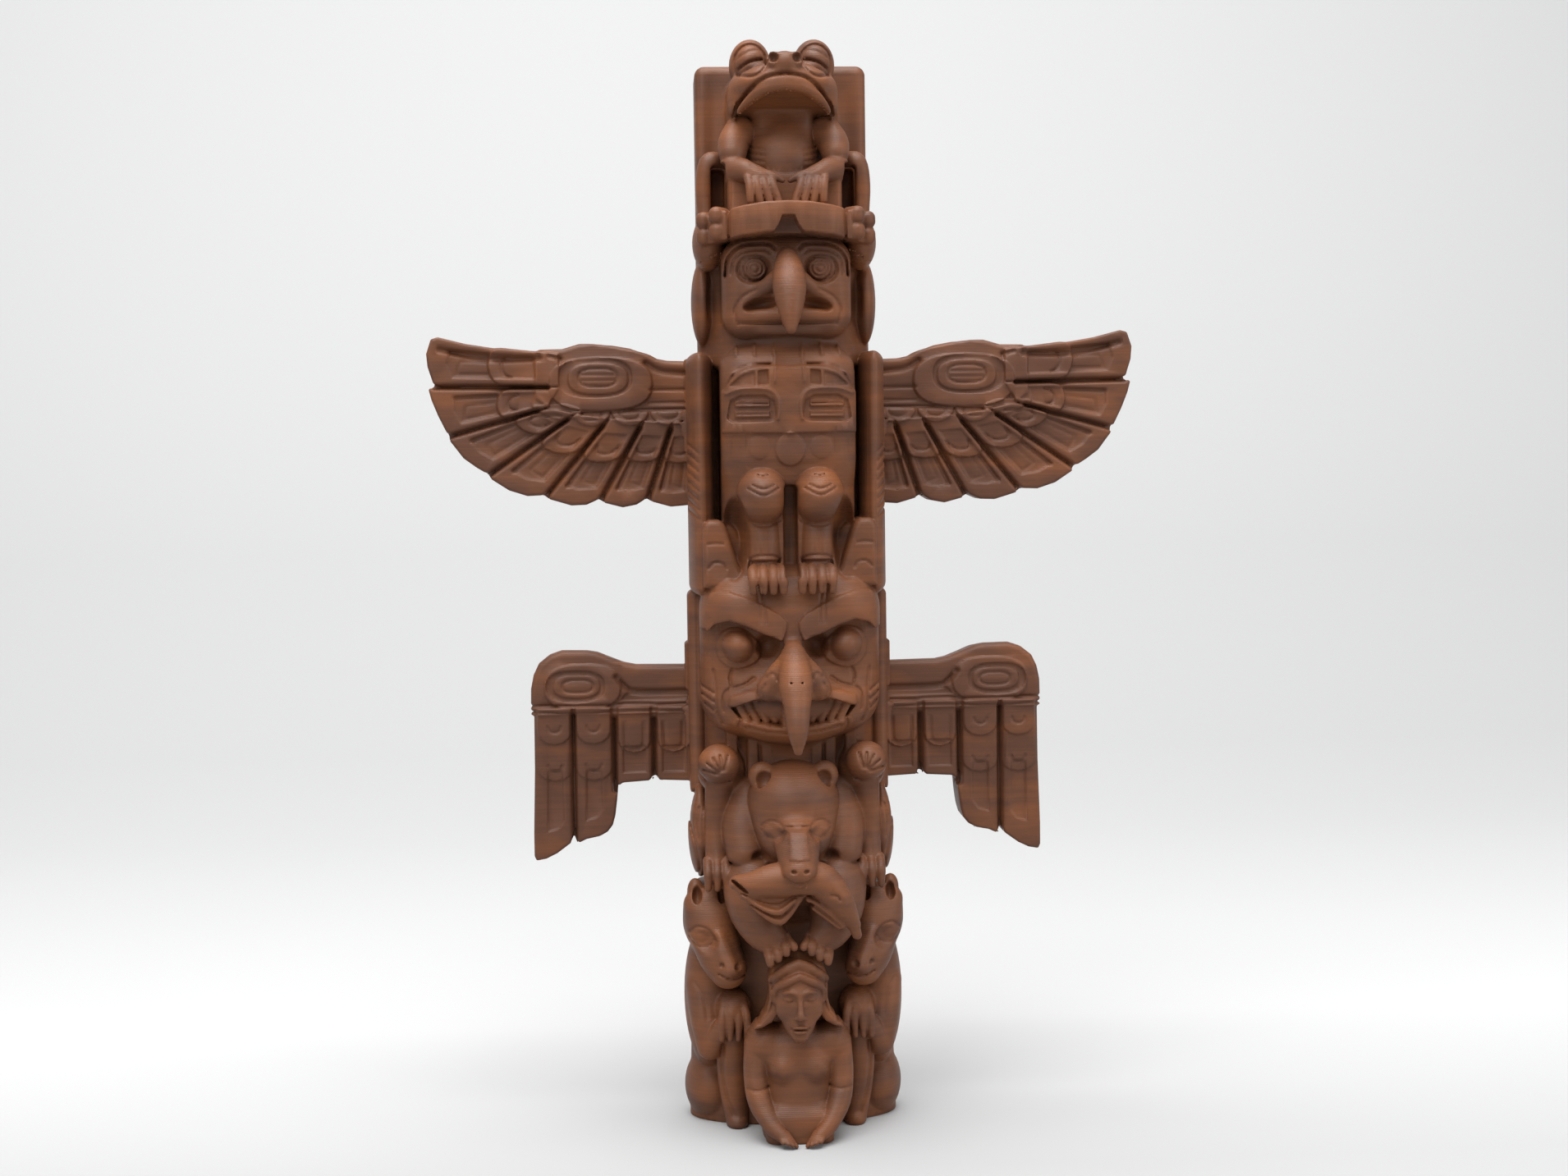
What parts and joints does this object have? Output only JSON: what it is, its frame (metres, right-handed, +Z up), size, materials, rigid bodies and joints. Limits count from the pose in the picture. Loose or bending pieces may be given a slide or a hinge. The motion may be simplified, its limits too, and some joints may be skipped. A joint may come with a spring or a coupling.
{
  "type": "totem pole model",
  "caption": "Small printed totem pole: a frog, winged birds, a bear with a fish, wolves and a seated woman, stacked before a pole.",
  "frame": {"origin": "on the flat underside, on the model's middle line, near the middle of its depth", "axes": "+Z up, +X to the viewer's right, the figures face -Y"},
  "size_m": [0.133, 0.0397, 0.2003],
  "materials": {
    "print": "matte reddish-brown printed plastic with fine level layer lines"
  },
  "bodies": {
    "root": {"totem_pole": "print"}
  },
  "joints": []
}
